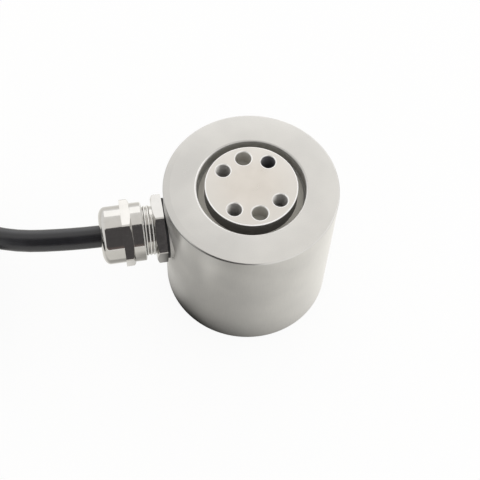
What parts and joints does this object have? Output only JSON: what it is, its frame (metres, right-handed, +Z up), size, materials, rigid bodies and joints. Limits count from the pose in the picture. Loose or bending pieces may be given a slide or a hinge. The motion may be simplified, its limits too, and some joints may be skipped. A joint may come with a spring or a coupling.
{
  "type": "multi-axis load cell",
  "caption": "Cylindrical steel multi-axis load cell: a raised load platform inside a ring on top, threaded and dowel holes, a side cable gland and its cable, spare length in a tied hank.",
  "frame": {"origin": "centre of the base's mounting face", "axes": "+Z up along the body's axis, out of the load platform; the cable gland points along -X"},
  "size_m": [0.2355, 0.0616, 0.0479],
  "materials": {
    "stainless_steel": "fine-turned satin stainless steel",
    "element_steel": "ground stainless steel, slightly warm",
    "nickel_plate": "bright nickel plate on brass",
    "screw_steel": "plain stainless screw",
    "black_rubber": "black nitrile rubber",
    "grey_rubber": "dark grey rubber",
    "polyamide": "black polyamide",
    "cable_sheath": "black satin cable sheath",
    "tie_fabric": "black hook-and-loop tape",
    "board_laminate": "green solder mask with tinned pads",
    "gauge_foil": "foil gauge on amber backing",
    "tinned_copper": "tinned copper strand",
    "core_red": "red core insulation",
    "core_black": "black core insulation",
    "core_green": "green core insulation",
    "core_white": "white core insulation",
    "core_yellow": "yellow core insulation",
    "core_blue": "blue core insulation"
  },
  "bodies": {
    "root": {"housing": "stainless_steel", "sensing_element": "element_steel", "bottom_cover": "stainless_steel", "cover_gasket": "black_rubber", "housing_screw_1": "screw_steel", "housing_screw_2": "screw_steel", "housing_screw_3": "screw_steel", "housing_screw_4": "screw_steel", "housing_screw_5": "screw_steel", "housing_screw_6": "screw_steel", "housing_screw_7": "screw_steel", "housing_screw_8": "screw_steel", "cover_screw_1": "screw_steel", "cover_screw_2": "screw_steel", "cover_screw_3": "screw_steel", "cover_screw_4": "screw_steel", "gauge_1_top": "gauge_foil", "gauge_1_side_a": "gauge_foil", "gauge_1_bottom": "gauge_foil", "gauge_1_side_b": "gauge_foil", "gauge_2_top": "gauge_foil", "gauge_2_side_a": "gauge_foil", "gauge_2_bottom": "gauge_foil", "gauge_2_side_b": "gauge_foil", "gauge_3_top": "gauge_foil", "gauge_3_side_a": "gauge_foil", "gauge_3_bottom": "gauge_foil", "gauge_3_side_b": "gauge_foil", "gauge_4_top": "gauge_foil", "gauge_4_side_a": "gauge_foil", "gauge_4_bottom": "gauge_foil", "gauge_4_side_b": "gauge_foil", "terminal_board": "board_laminate", "board_pillar_1": "screw_steel", "board_pillar_2": "screw_steel", "board_pillar_3": "screw_steel", "board_pillar_4": "screw_steel", "board_screw_1": "screw_steel", "board_screw_2": "screw_steel", "board_screw_3": "screw_steel", "board_screw_4": "screw_steel", "core_wire_1": "core_red", "core_wire_2": "core_black", "core_wire_3": "core_green", "core_wire_4": "core_white", "core_wire_5": "core_yellow", "core_wire_6": "core_blue", "gland_body": "nickel_plate", "gland_washer": "black_rubber", "gland_seal": "grey_rubber", "gland_clamp_cage": "polyamide", "gland_dome_nut": "nickel_plate", "cable_run": "cable_sheath", "cable_hank": "cable_sheath", "cable_tail": "cable_sheath", "cable_leads": "tinned_copper", "cable_tie_1": "tie_fabric", "cable_tie_2": "tie_fabric"}
  },
  "joints": []
}
